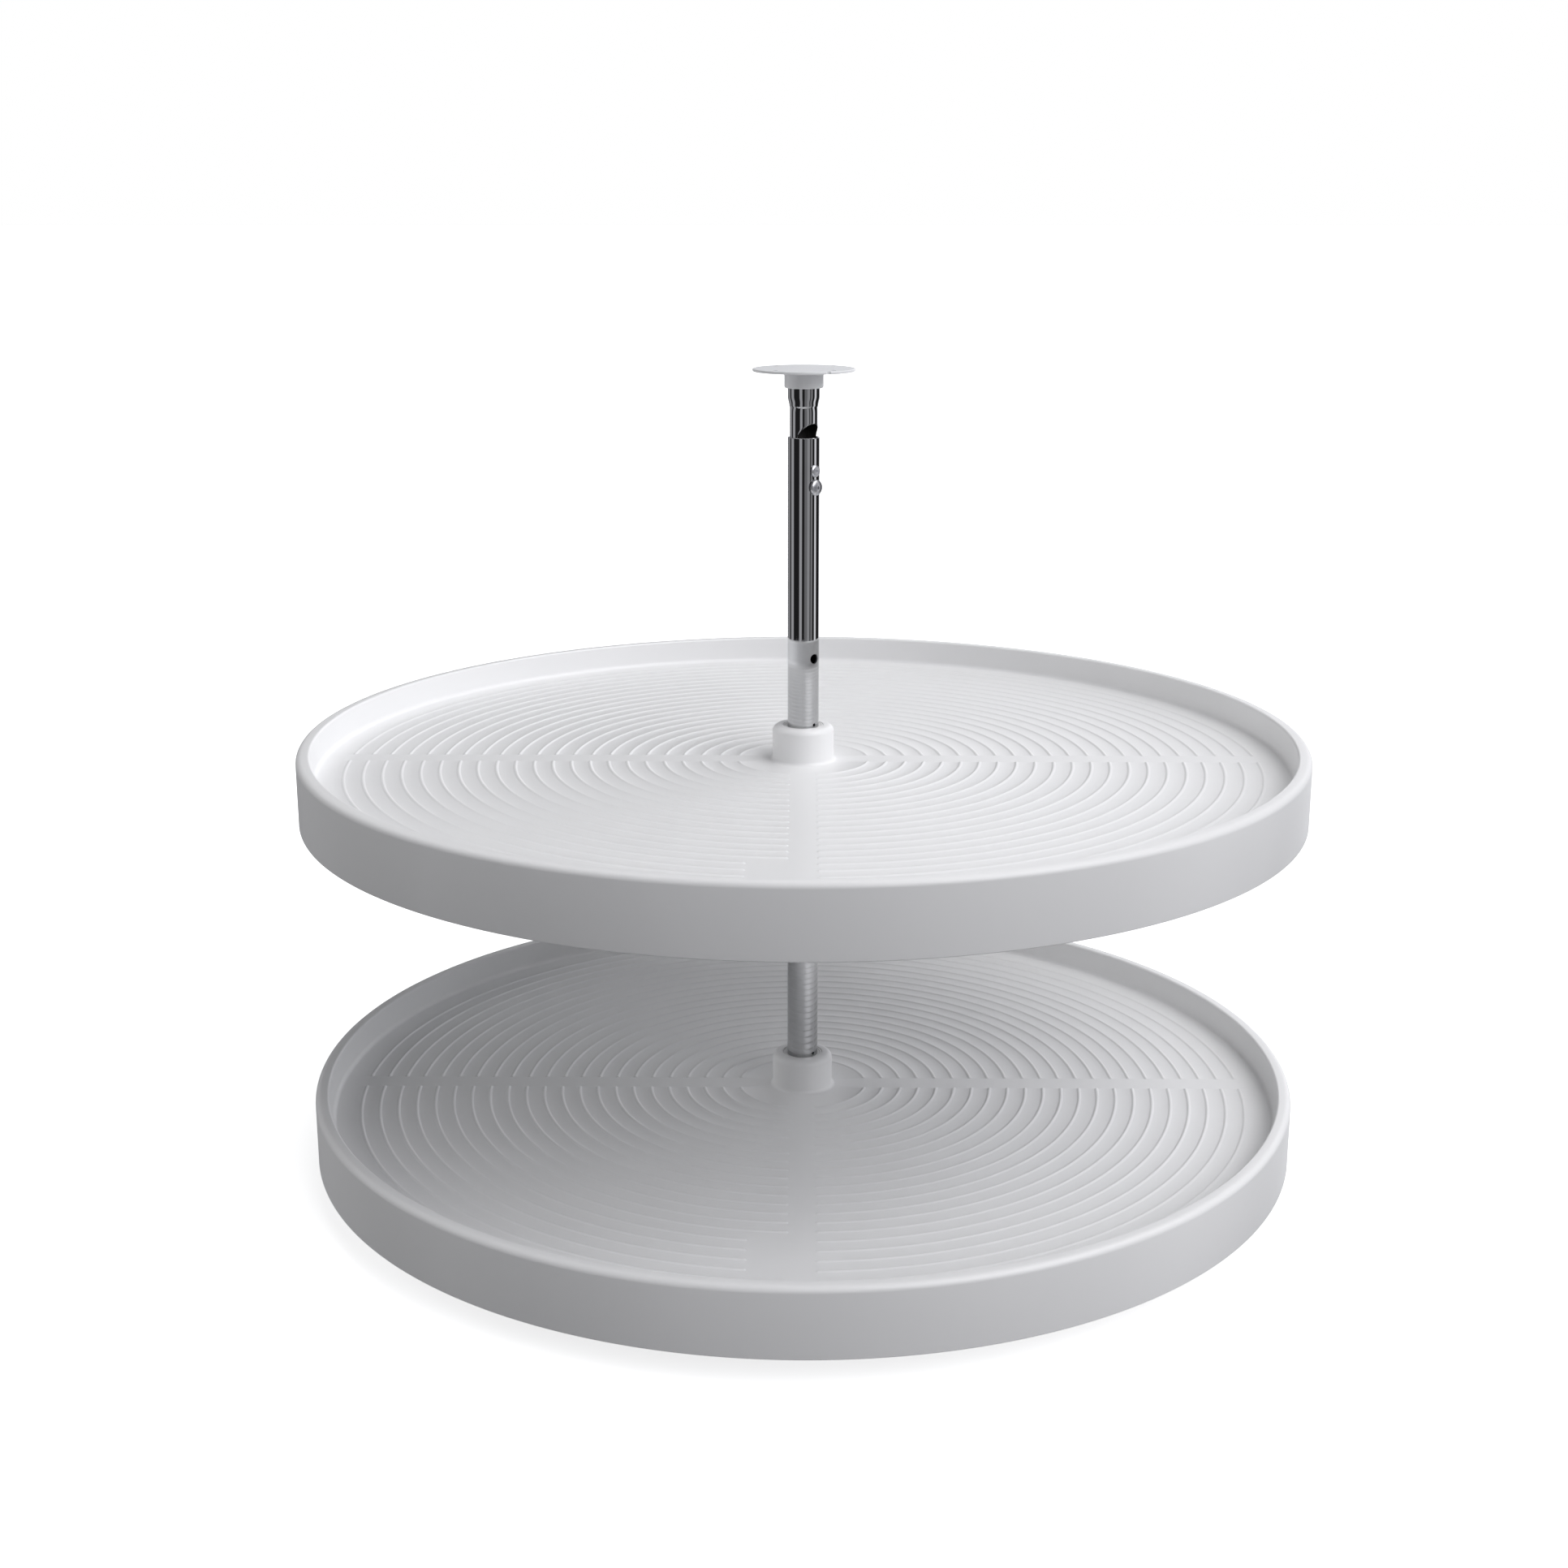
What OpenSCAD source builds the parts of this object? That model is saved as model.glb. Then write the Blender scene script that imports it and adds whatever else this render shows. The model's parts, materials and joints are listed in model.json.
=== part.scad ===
// Two-tray lazy susan for a corner or base cabinet.
// Two round moulded trays turn on ball bearings around a telescoping steel post.
// The post is screwed to the cabinet's floor and top through a flange at each end.
// Units are millimetres and +Z is up. The origin is the centre of the base flange's underside.

/* [Trays] */
// Outer diameter of each tray
tray_d = 812.8; // [780:0.1:900]
// Height of the skirt and rim, from the skirt's lower edge to the top of the lip
tray_h = 54.4; // [50:0.1:70]
// Height of the floor's top face above the skirt's lower edge
floor_top = 32; // [30:0.5:34]
// Thickness of the floor
floor_t = 3.2; // [3.1:0.1:4]
// Thickness of the skirt and the rim's inner wall
wall_t = 3; // [2.5:0.1:3.5]
// Width of the flat and rounded lip, measured across its top
lip_w = 10.9; // [10:0.1:13]
// Gap between the cabinet's floor and the lower tray's skirt
skirt_gap = 26.4; // [26:0.1:60]
// Height from one tray to the next
tray_pitch = 286; // [200:1:300]

/* [Tray floor] */
// Number of raised anti-slip rings on a tray's floor
ring_count = 22; // [4:1:22]
// Radius of the innermost ring
ring_first_r = 53.4; // [40:0.1:60]
// Radial distance between rings
ring_pitch = 15.1; // [10:0.1:15.2]
// Height of a ring above the floor
ring_h = 1; // [0.6:0.1:1.2]
// Width of the two smooth bands that cross the rings
band_w = 19; // [10:0.5:40]

/* [Hub and bearing] */
// Outer diameter of the tray's hub
hub_d = 50; // [48:0.5:56]
// Height of the hub above the floor
hub_h = 29; // [20:0.5:40]
// Outer diameter of the bush inside the hub
bush_d = 32.7; // [31:0.1:34]
// Diameter of a bearing ball
ball_d = 6; // [5.8:0.1:6]
// Number of balls in each bearing
ball_count = 14; // [6:1:16]

/* [Post] */
// Outer diameter of the lower tube
post_d = 25.4; // [25:0.1:25.6]
// Height of the whole assembly with the post pushed in
post_min_h = 660; // [655:1:700]
// Height that the post can be pulled out by
post_travel = 127; // [20:1:130]
// Height of the lower tube's top edge
lower_tube_top = 606.5; // [600:0.5:610]
// Outer diameter of the upper tube where it slides
upper_tube_d = 22.1; // [22:0.05:22.1]
// Height of the upper tube's lower end
upper_tube_foot = 410; // [380:1:420]

/* [Flanges] */
// Diameter of a flange's disc
flange_d = 80.8; // [78:0.1:100]
// Thickness of a flange's disc
flange_t = 2.2; // [2:0.1:4]
// Outer diameter of a flange's socket
socket_d = 30.9; // [29:0.1:34]
// Height of a flange's disc and socket together
flange_h = 15.1; // [12:0.1:18]
// Diameter of the circle through the four screw holes
bolt_circle_d = 64; // [50:0.5:68]
// Diameter of a screw hole
bolt_hole_d = 5.2; // [4:0.1:6]

/* [Hidden] */
$fn = 96;

white = [0.86, 0.86, 0.87];
plastic = [0.72, 0.73, 0.75];
chrome = [0.60, 0.61, 0.63];
steel = [0.50, 0.50, 0.52];

// Small gaps: between parts that are pressed together, and between parts that run on each other.
seat_gap = 0.05;
run_gap = 0.05;
recess_gap = 0.3;

// Heights of the two trays' lower edges.
lower_z = skirt_gap;
upper_z = skirt_gap + tray_pitch;

// Tray section.
tray_r = tray_d / 2;
lip_round = 5;
lip_inner_round = 2;
wall_draft = 2.2;
floor_fillet = 4;
hub_r = hub_d / 2;
hub_round = 5;
hub_flare = 3;
hub_bore_r = bush_d / 2 + seat_gap;
hub_chamfer = 0.6;
hub_foot = 10;
bush_inset = 0.4;
bush_chamfer = 0.5;
ring_section_r = 2;
stiffener_t = 2.2;
stiffener_foot = 16;
stiffener_ring_foot = 19;
stiffener_count = 16;
stiffener_rings = [140, 270];
// Blank panel beside the front band, where four rings are interrupted.
panel_w = 29.5;
panel_r = [289, 349];

// Bearing, with heights measured from the tray's lower edge.
race_r = 23;
race_bore_r = 14.5;
race_t = 2;
ball_circle_r = 19.5;
ball_z = 7.6;
cage_t = 2.4;
top_race_z = 10;
bottom_race_z = 2 * ball_z - top_race_z - race_t;
carrier_foot = -6;
carrier_bore_r = post_d / 2 + seat_gap;
carrier_pin_z = -1.4;
carrier_pin_d = 5;
carrier_pin_l = 45;

// Flange.
flange_edge = 0.5;
socket_fillet = 2;
socket_chamfer = 0.8;
socket_lead_in = 0.4;
first_bolt_angle = 45;
countersink_land = 0.6;
countersink_d = 8.4;
notch_angle = -62;
notch_w = 4;
notch_depth = 2;

// Post.
lower_wall = 1.6;
upper_wall = 1.2;
socket_floor = 3;
socket_bore_r = post_d / 2 + seat_gap;
slot_peak_z = 617.5;
slot_r = 10.55;
swage_start_z = 630.1;
swage_end_z = 638.4;
swage_steps = 8;
// Every hole in the lower tube is drilled on this side of the post.
drill_angle = -45;
lock_z = 567.7;
rivet_z = 580.7;
sight_hole_z = 429.6;
sight_hole_d = 8;
index_hole_z = [88.9, 374.8];
index_hole_d = 2.8;

// Lock screw, washer, rivet and nut plate, measured outwards from the post's axis.
screw_d = 6;
screw_hole_d = 6.4;
screw_head_d = 12.2;
screw_head_h = 2.8;
screw_head_rim = 0.7;
screw_tip_chamfer = 0.8;
recess_l = 4.8;
recess_w = 1.2;
recess_depth = 1.5;
washer_d = 10.6;
washer_bore_d = 6.2;
washer_t = 0.8;
outer_seat = post_d / 2 + 0.1;
screw_seat = outer_seat + washer_t;
screw_tip = -upper_tube_d / 2 + upper_wall + 0.3;
rivet_d = 4.8;
rivet_head_d = 9.4;
rivet_head_h = 1.7;
rivet_rim = 0.5;
rivet_slope = 1.2;
rivet_dimple_r = 1.1;
rivet_tail_r = 3.5;
rivet_tail_h = 1.2;
plate_t = 2.4;
plate_r = post_d / 2 - lower_wall - seat_gap;
plate_half_angle = 46;
plate_z = [lock_z - 11, rivet_z + 9];

function arc_points(cx, cy, r, from, to, steps) =
    [for (i = [0:steps]) let (a = from + (to - from) * i / steps) [cx + r * cos(a), cy + r * sin(a)]];

// Outer radius and height of the upper tube's swage, a smooth S moved inwards by inset.
function swage_points(inset) =
    [for (i = [0:swage_steps]) let (part = i / swage_steps, widen = (1 - cos(180 * part)) / 2) [
        upper_tube_d / 2 + (post_d - upper_tube_d) / 2 * widen - inset,
        swage_start_z + (swage_end_z - swage_start_z) * part
    ]];

function reversed(points) = [for (i = [len(points) - 1:-1:0]) points[i]];

// A cylinder along X, from x_from to x_to, turned to the drilled side of the post.
module drilled(z, r, x_from, x_to)
    rotate([0, 0, drill_angle])
        translate([x_from, 0, z])
            rotate([0, 90, 0])
                cylinder(r = r, h = x_to - x_from);

// ---------------------------------------------------------------- trays

// Half section of a tray: hub, floor, inner wall, lip and hanging skirt.
module tray_section() {
    lip_in = tray_r - lip_w;
    wall_foot_r = lip_in - wall_draft;
    hub_top = floor_top + hub_h;
    recess_r = race_r + recess_gap;
    polygon(concat(
        [
            [hub_bore_r, top_race_z + race_t],
            [recess_r, top_race_z + race_t],
            [recess_r, hub_foot],
            [hub_r + 1, hub_foot],
            [hub_r, floor_top - floor_t],
            [wall_foot_r + wall_t + 1, floor_top - floor_t],
            [lip_in + wall_t, tray_h - wall_t],
            [tray_r - wall_t, tray_h - wall_t],
            [tray_r - wall_t, 0],
            [tray_r, 0]
        ],
        arc_points(tray_r - lip_round, tray_h - lip_round, lip_round, 0, 90, 6),
        arc_points(lip_in + lip_inner_round, tray_h - lip_inner_round, lip_inner_round, 90, 180, 4),
        arc_points(wall_foot_r - floor_fillet, floor_top + floor_fillet, floor_fillet, 0, -90, 5),
        arc_points(hub_r + hub_flare, floor_top + hub_flare, hub_flare, 270, 180, 4),
        arc_points(hub_r - hub_round, hub_top - hub_round, hub_round, 0, 90, 6),
        [[hub_bore_r + hub_chamfer, hub_top], [hub_bore_r, hub_top - hub_chamfer]]
    ));
}

// Raised rings, cut by the two bands and by the blank panel.
module floor_rings() {
    outer_r = ring_first_r + ring_pitch * ring_count;
    difference() {
        rotate_extrude()
            for (i = [0:ring_count - 1])
                translate([ring_first_r + ring_pitch * i, floor_top + ring_h - ring_section_r])
                    circle(r = ring_section_r, $fn = 32);
        for (turn = [0, 90])
            rotate([0, 0, turn])
                translate([-outer_r, -band_w / 2, 0])
                    cube([2 * outer_r, band_w, tray_h]);
        translate([-band_w / 2 - panel_w, -panel_r[1], 0])
            cube([panel_w + 1, panel_r[1] - panel_r[0], tray_h]);
    }
}

// Radial and ring stiffeners under the floor.
module stiffeners() {
    skirt_in = tray_r - wall_t;
    for (i = [0:stiffener_count - 1])
        rotate([0, 0, (i + 0.5) * 360 / stiffener_count]) {
            translate([hub_r - 1, -stiffener_t / 2, stiffener_foot])
                cube([skirt_in + 1 - hub_r + 1, stiffener_t, floor_top - 1 - stiffener_foot]);
            translate([tray_r - lip_w + 1, -stiffener_t / 2, stiffener_foot])
                cube([lip_w - wall_t, stiffener_t, tray_h - wall_t + 1 - stiffener_foot]);
        }
    rotate_extrude()
        for (r = stiffener_rings)
            translate([r - stiffener_t / 2, stiffener_ring_foot])
                square([stiffener_t, floor_top - 1 - stiffener_ring_foot]);
}

module tray(z)
    color(white)
        translate([0, 0, z])
            union() {
                rotate_extrude()
                    tray_section();
                floor_rings();
                stiffeners();
            }

// Bush in the hub, which turns with the tray and runs on the post.
module bush(z) {
    bore_r = post_d / 2 + run_gap;
    foot = top_race_z + race_t;
    top = floor_top + hub_h - bush_inset;
    color(white)
        translate([0, 0, z])
            rotate_extrude()
                polygon([
                    [bore_r, foot],
                    [bush_d / 2, foot],
                    [bush_d / 2, top - bush_chamfer],
                    [bush_d / 2 - bush_chamfer, top],
                    [bore_r + bush_chamfer, top],
                    [bore_r, top - bush_chamfer]
                ]);
}

// ---------------------------------------------------------------- bearings

// Flat race with a groove for the balls. Both races use the same ring.
module race(z)
    color(steel)
        rotate_extrude()
            difference() {
                translate([race_bore_r, z])
                    square([race_r - race_bore_r, race_t]);
                translate([ball_circle_r, z < ball_z ? z + race_t + ball_lift() : z - ball_lift()])
                    circle(r = ball_d / 2 + run_gap, $fn = 48);
            }

// Height from a race's face to the balls' centres.
function ball_lift() = top_race_z - ball_z;

module top_race(z) translate([0, 0, z]) race(top_race_z);
module bottom_race(z) translate([0, 0, z]) race(bottom_race_z);

module at_each_ball()
    for (i = [0:ball_count - 1])
        rotate([0, 0, i * 360 / ball_count])
            translate([ball_circle_r, 0, ball_z])
                children();

module ball_cage(z)
    color(plastic)
        translate([0, 0, z])
            difference() {
                translate([0, 0, ball_z - cage_t / 2])
                    difference() {
                        cylinder(r = race_r - 0.3, h = cage_t);
                        translate([0, 0, -1])
                            cylinder(r = race_bore_r + 0.7, h = cage_t + 2);
                    }
                at_each_ball()
                    translate([0, 0, -cage_t])
                        cylinder(r = ball_d / 2 + 0.1, h = 2 * cage_t, $fn = 48);
            }

module balls(z)
    color(steel)
        translate([0, 0, z])
            at_each_ball()
                sphere(d = ball_d, $fn = 32);

// Collar under a tray, held on the post by a cross pin. It carries the lower race.
module carrier(z)
    color(plastic)
        difference() {
            translate([0, 0, z])
                rotate_extrude()
                    polygon([
                        [carrier_bore_r, carrier_foot],
                        [race_r - 2, carrier_foot],
                        [race_r, carrier_foot + 2],
                        [race_r, bottom_race_z],
                        [race_bore_r - seat_gap, bottom_race_z],
                        [race_bore_r - seat_gap, bottom_race_z + race_t - 0.2],
                        [carrier_bore_r, bottom_race_z + race_t - 0.2]
                    ]);
            drilled(z + carrier_pin_z, carrier_pin_d / 2 + seat_gap, -race_r - 1, race_r + 1);
        }

module carrier_pin(z)
    color(steel)
        drilled(z + carrier_pin_z, carrier_pin_d / 2, -carrier_pin_l / 2, carrier_pin_l / 2);

// ---------------------------------------------------------------- post

// Disc with a socket for the end of a tube and four countersunk holes. The disc's face is at z = 0.
module flange() {
    disc_r = flange_d / 2;
    socket_r = socket_d / 2;
    difference() {
        rotate_extrude()
            polygon(concat(
                [
                    [0, 0],
                    [disc_r - flange_edge, 0],
                    [disc_r, flange_edge],
                    [disc_r, flange_t - flange_edge],
                    [disc_r - flange_edge, flange_t]
                ],
                arc_points(socket_r + socket_fillet, flange_t + socket_fillet, socket_fillet, 270, 180, 4),
                [
                    [socket_r, flange_h - socket_chamfer],
                    [socket_r - socket_chamfer, flange_h],
                    [socket_bore_r + socket_lead_in, flange_h],
                    [socket_bore_r, flange_h - socket_lead_in],
                    [socket_bore_r, socket_floor],
                    [0, socket_floor]
                ]
            ));
        for (i = [0:3])
            rotate([0, 0, first_bolt_angle + 90 * i])
                translate([bolt_circle_d / 2, 0, 0])
                    countersunk_hole();
        rotate([0, 0, notch_angle])
            translate([disc_r - notch_depth, -notch_w / 2, -1])
                cube([2 * notch_depth, notch_w, flange_t + 2]);
    }
}

module countersunk_hole()
    rotate_extrude($fn = 48)
        polygon([
            [0, -1],
            [bolt_hole_d / 2, -1],
            [bolt_hole_d / 2, countersink_land],
            [countersink_d / 2, flange_t],
            [countersink_d / 2, flange_t + 1],
            [0, flange_t + 1]
        ]);

module base_flange()
    color(white)
        flange();

module top_flange()
    color(white)
        translate([0, 0, post_min_h])
            mirror([0, 0, 1])
                flange();

// Outer tube, drilled on one side, with a hole right through it for each carrier's pin.
module lower_tube()
    color(chrome)
        difference() {
            rotate_extrude()
                translate([post_d / 2 - lower_wall, socket_floor])
                    square([lower_wall, lower_tube_top - socket_floor]);
            for (z = index_hole_z)
                drilled(z, index_hole_d / 2, 0, post_d);
            drilled(sight_hole_z, sight_hole_d / 2, 0, post_d);
            drilled(lock_z, screw_hole_d / 2, 0, post_d);
            drilled(rivet_z, rivet_d / 2 + seat_gap, 0, post_d);
            for (z = [lower_z, upper_z])
                drilled(z + carrier_pin_z, carrier_pin_d / 2 + seat_gap, -post_d, post_d);
        }

// Inner tube: swaged to the post's full diameter at its top, and cut open to a half pipe below.
module upper_tube() {
    r = upper_tube_d / 2;
    swage_r = post_d / 2;
    top_z = post_min_h - socket_floor;
    color(chrome)
        difference() {
            rotate_extrude()
                polygon(concat(
                    [[r - upper_wall, upper_tube_foot], [r, upper_tube_foot]],
                    swage_points(0),
                    [[swage_r, top_z], [swage_r - upper_wall, top_z]],
                    reversed(swage_points(upper_wall))
                ));
            drilled(slot_peak_z - slot_r, slot_r, 0, post_d);
            rotate([0, 0, drill_angle])
                translate([0, -slot_r, upper_tube_foot - 1])
                    cube([post_d, 2 * slot_r, slot_peak_z - slot_r - upper_tube_foot + 1]);
        }
}

// Curved plate inside the lower tube, tapped for the lock screw and held by the rivet.
module nut_plate()
    color(steel)
        difference() {
            rotate([0, 0, drill_angle - plate_half_angle])
                translate([0, 0, plate_z[0]])
                    rotate_extrude(angle = 2 * plate_half_angle)
                        translate([plate_r - plate_t, 0])
                            square([plate_t, plate_z[1] - plate_z[0]]);
            drilled(lock_z, screw_d / 2 + run_gap, 0, post_d);
            drilled(rivet_z, rivet_d / 2 + seat_gap, 0, post_d);
        }

// A round part whose section is revolved about the drilled direction at height z.
module turned_part(z)
    rotate([0, 0, drill_angle])
        translate([0, 0, z])
            rotate([0, 90, 0])
                rotate_extrude()
                    children();

// The rivet's tail is flat, so it sits where the plate's curved inner face clears its edge.
module guide_rivet() {
    head_r = rivet_head_d / 2;
    tail_seat = sqrt(pow(plate_r - plate_t, 2) - pow(rivet_tail_r, 2)) - run_gap;
    color(steel)
        turned_part(rivet_z)
            polygon([
                [0, tail_seat - rivet_tail_h],
                [rivet_tail_r - 0.5, tail_seat - rivet_tail_h],
                [rivet_tail_r, tail_seat],
                [rivet_d / 2, tail_seat],
                [rivet_d / 2, outer_seat],
                [head_r, outer_seat],
                [head_r, outer_seat + rivet_rim],
                [head_r - rivet_slope, outer_seat + rivet_head_h - 0.3],
                [rivet_dimple_r, outer_seat + rivet_head_h],
                [rivet_dimple_r - 0.2, outer_seat + rivet_head_h - 1],
                [0, outer_seat + rivet_head_h - 1]
            ]);
}

module lock_washer()
    color(steel)
        turned_part(lock_z)
            translate([washer_bore_d / 2, outer_seat])
                square([(washer_d - washer_bore_d) / 2, washer_t]);

// Domed screw with a cross recess. Its tip clamps the half pipe against the lower tube.
module lock_screw() {
    head_r = screw_head_d / 2;
    dome_h = screw_head_h - screw_head_rim;
    dome_steps = 5;
    dome = [for (i = [0:dome_steps]) let (a = 90 * i / dome_steps)
        [head_r * cos(a), screw_seat + screw_head_rim + dome_h * sin(a)]];
    color(steel)
        difference() {
            turned_part(lock_z)
                polygon(concat(
                    [
                        [0, screw_tip],
                        [screw_d / 2 - screw_tip_chamfer, screw_tip],
                        [screw_d / 2, screw_tip + screw_tip_chamfer],
                        [screw_d / 2, screw_seat],
                        [head_r, screw_seat]
                    ],
                    dome
                ));
            for (turn = [0, 90])
                rotate([0, 0, drill_angle])
                    translate([screw_seat + screw_head_h - recess_depth, 0, lock_z])
                        rotate([turn, 0, 0])
                            translate([0, -recess_w / 2, -recess_l / 2])
                                cube([2 * recess_depth, recess_w, recess_l]);
        }
}

// ---------------------------------------------------------------- assembly

base_flange();
top_flange();
lower_tube();
upper_tube();
nut_plate();
guide_rivet();
lock_washer();
lock_screw();
carrier(lower_z);  // lower_carrier
carrier(upper_z);  // upper_carrier
carrier_pin(lower_z);  // lower_carrier_pin
carrier_pin(upper_z);  // upper_carrier_pin
bottom_race(lower_z);  // lower_bottom_race
bottom_race(upper_z);  // upper_bottom_race
top_race(lower_z);  // lower_top_race
top_race(upper_z);  // upper_top_race
ball_cage(lower_z);  // lower_ball_cage
ball_cage(upper_z);  // upper_ball_cage
balls(lower_z);  // lower_balls
balls(upper_z);  // upper_balls
bush(lower_z);  // lower_bush
bush(upper_z);  // upper_bush
tray(lower_z);  // lower_tray
tray(upper_z);  // upper_tray
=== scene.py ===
"""Looks of a two-tray lazy susan: moulded trays and flanges, a chromed post and its bearings."""

import json
import math

import bmesh
import bpy
from mathutils import Matrix, Vector


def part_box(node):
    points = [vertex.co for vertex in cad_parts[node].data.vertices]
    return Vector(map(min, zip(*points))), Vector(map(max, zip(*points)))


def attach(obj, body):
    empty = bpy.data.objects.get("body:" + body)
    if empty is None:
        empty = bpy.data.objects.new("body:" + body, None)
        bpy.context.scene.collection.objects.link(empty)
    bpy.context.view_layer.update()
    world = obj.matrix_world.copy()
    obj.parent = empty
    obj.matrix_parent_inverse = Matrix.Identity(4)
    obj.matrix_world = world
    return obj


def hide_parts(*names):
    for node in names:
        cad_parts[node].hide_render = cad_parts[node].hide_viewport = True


bl_info = {
    "name": "Lazy Susan",
    "version": (1, 0, 0),
    "blender": (4, 5, 0),
    "location": "View3D > Sidebar > Lazy Susan",
    "description": "Builds the visible pieces of a two-tray lazy susan around its packed frame",
    "category": "Object",
}

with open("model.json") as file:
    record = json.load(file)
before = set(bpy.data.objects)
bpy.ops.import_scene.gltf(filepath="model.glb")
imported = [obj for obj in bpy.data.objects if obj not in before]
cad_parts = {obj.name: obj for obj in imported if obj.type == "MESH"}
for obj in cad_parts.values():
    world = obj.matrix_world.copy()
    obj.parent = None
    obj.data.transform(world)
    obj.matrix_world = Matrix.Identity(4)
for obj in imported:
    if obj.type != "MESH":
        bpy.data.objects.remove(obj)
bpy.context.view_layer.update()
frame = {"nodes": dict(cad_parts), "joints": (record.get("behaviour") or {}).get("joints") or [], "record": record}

MM = 0.001
TIERS = ("lower", "upper")


# ---------------------------------------------------------------- places taken from the frame


def size_of(node):
    low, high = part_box(node)
    return high - low


def middle_height(node):
    low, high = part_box(node)
    return (low.z + high.z) / 2


def joint_named(name):
    return next(joint for joint in frame["joints"] if joint["name"] == name)


TRAY_R = size_of("lower_tray").x / 2
POST_R = size_of("lower_tube").x / 2
BUSH_R = size_of("lower_bush").x / 2
FLANGE_R = size_of("top_flange").x / 2
LOCK_SPOT = Vector(joint_named("lock_screw_turn")["pos_m"])
LOCK_AXIS = Vector(joint_named("lock_screw_turn")["axis"]).normalized()
DRILL_ANGLE = math.atan2(LOCK_AXIS.y, LOCK_AXIS.x)
RIVET_Z = middle_height("guide_rivet")
SEATING = 0.05 * MM


# ---------------------------------------------------------------- settings a user would change


def length(name, description, default):
    return bpy.props.FloatProperty(
        name=name, description=description, default=default, unit="LENGTH", precision=5)


def share(name, description, default):
    return bpy.props.FloatProperty(
        name=name, description=description, default=default, min=0, max=1, subtype="FACTOR")


def colour(name, description, default):
    return bpy.props.FloatVectorProperty(
        name=name, description=description, default=default, size=3, min=0, max=1, subtype="COLOR")


def whole(name, description, default):
    return bpy.props.IntProperty(name=name, description=description, default=default, min=1)


def amount(name, description, default):
    return bpy.props.FloatProperty(name=name, description=description, default=default, min=0)


class TrayLook(bpy.types.PropertyGroup):
    """Sizes and colours of the two trays"""

    ring_count: whole("Rings", "Number of raised rings on a floor", 22)
    ring_first: length("First ring", "Radius of the innermost ring", 53.4 * MM)
    ring_pitch: length("Ring pitch", "Radial distance between rings", 15.1 * MM)
    ring_height: length("Ring height", "Height of a ring above the floor", 0.75 * MM)
    ring_width: length("Ring width", "Width of a ring where it meets the floor", 4.2 * MM)
    band: length("Band", "Half the width of the smooth bands across the rings", 9.5 * MM)
    panel: length("Panel", "How far the blank panel reaches from the front axis", 39.0 * MM)
    tone: colour("Plastic", "Colour of the moulded trays", (0.81, 0.81, 0.812))
    shade: colour("Plastic shade", "Colour of the plastic's faint darker clouds", (0.785, 0.785, 0.79))
    roughness: share("Roughness", "Roughness of the tray's satin surface", 0.36)


class PostLook(bpy.types.PropertyGroup):
    """Finish of the post, its flanges and its fasteners"""

    chrome: colour("Chrome", "Colour of the plated tubes", (0.53, 0.533, 0.54))
    zinc: colour("Zinc", "Colour of the plated fasteners", (0.56, 0.56, 0.565))
    steel: colour("Ground steel", "Colour of the races and balls", (0.52, 0.52, 0.54))
    # Painted light: the flanges use a lighter and a darker copy of one plastic. The lighter colour on the socket
    # and rim is painted light in the shade under the disc. The darker colour on the flat mounting face is painted
    # shade against the stronger light on the disc's top.
    flange: colour("Flange", "Colour of the moulded flanges", (0.88, 0.88, 0.885))
    flange_face_painted_darker: colour("Flange face", "Colour of a flange's matt mounting face", (0.74, 0.745, 0.755))
    acetal: colour("Bush", "Colour of the bushes", (0.80, 0.80, 0.80))
    collar: colour("Collar", "Colour of the carriers", (0.30, 0.31, 0.33))
    nylon: colour("Cage", "Colour of the ball cages", (0.72, 0.66, 0.52))


class StageLook(bpy.types.PropertyGroup):
    """Floor, light and camera"""

    floor: colour("Floor", "Colour of the floor", (0.93, 0.93, 0.93))
    glow: amount("Floor glow", "Light that the floor adds, which keeps it pale", 0.7)
    ambient: amount("Ambient", "Strength of the light from all round", 0.14)
    key: amount("Key light", "Strength of the light from the front right", 1.8)
    top: amount("Top light", "Strength of the light from above on the right", 1.1)
    side: amount("Side light", "Strength of the low light from the right", 0.3)
    rim: amount("Rim light", "Strength of the low light from behind on the right", 1.0)
    back: amount("Back light", "Strength of the low light from behind on the left", 1.2)


# ---------------------------------------------------------------- shader graphs


class Value:
    """One shader socket. Arithmetic on it adds Math nodes."""

    def __init__(self, graph, socket):
        self.graph = graph
        self.socket = socket

    def math(self, operation, *terms):
        return self.graph.node("ShaderNodeMath", {"operation": operation}, dict(enumerate(terms)))

    def __add__(self, other):
        return self.math("ADD", self, other)

    def __radd__(self, other):
        return self.math("ADD", other, self)

    def __sub__(self, other):
        return self.math("SUBTRACT", self, other)

    def __rsub__(self, other):
        return self.math("SUBTRACT", other, self)

    def __mul__(self, other):
        return self.math("MULTIPLY", self, other)

    def __rmul__(self, other):
        return self.math("MULTIPLY", other, self)

    def __truediv__(self, other):
        return self.math("DIVIDE", self, other)

    def __pow__(self, other):
        return self.math("POWER", self, other)

    def between(self, low, high):
        """0 below low, 1 above high and a straight climb between them."""
        return self.graph.node(
            "ShaderNodeMapRange", {"clamp": True}, {"Value": self, "From Min": low, "From Max": high})


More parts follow.
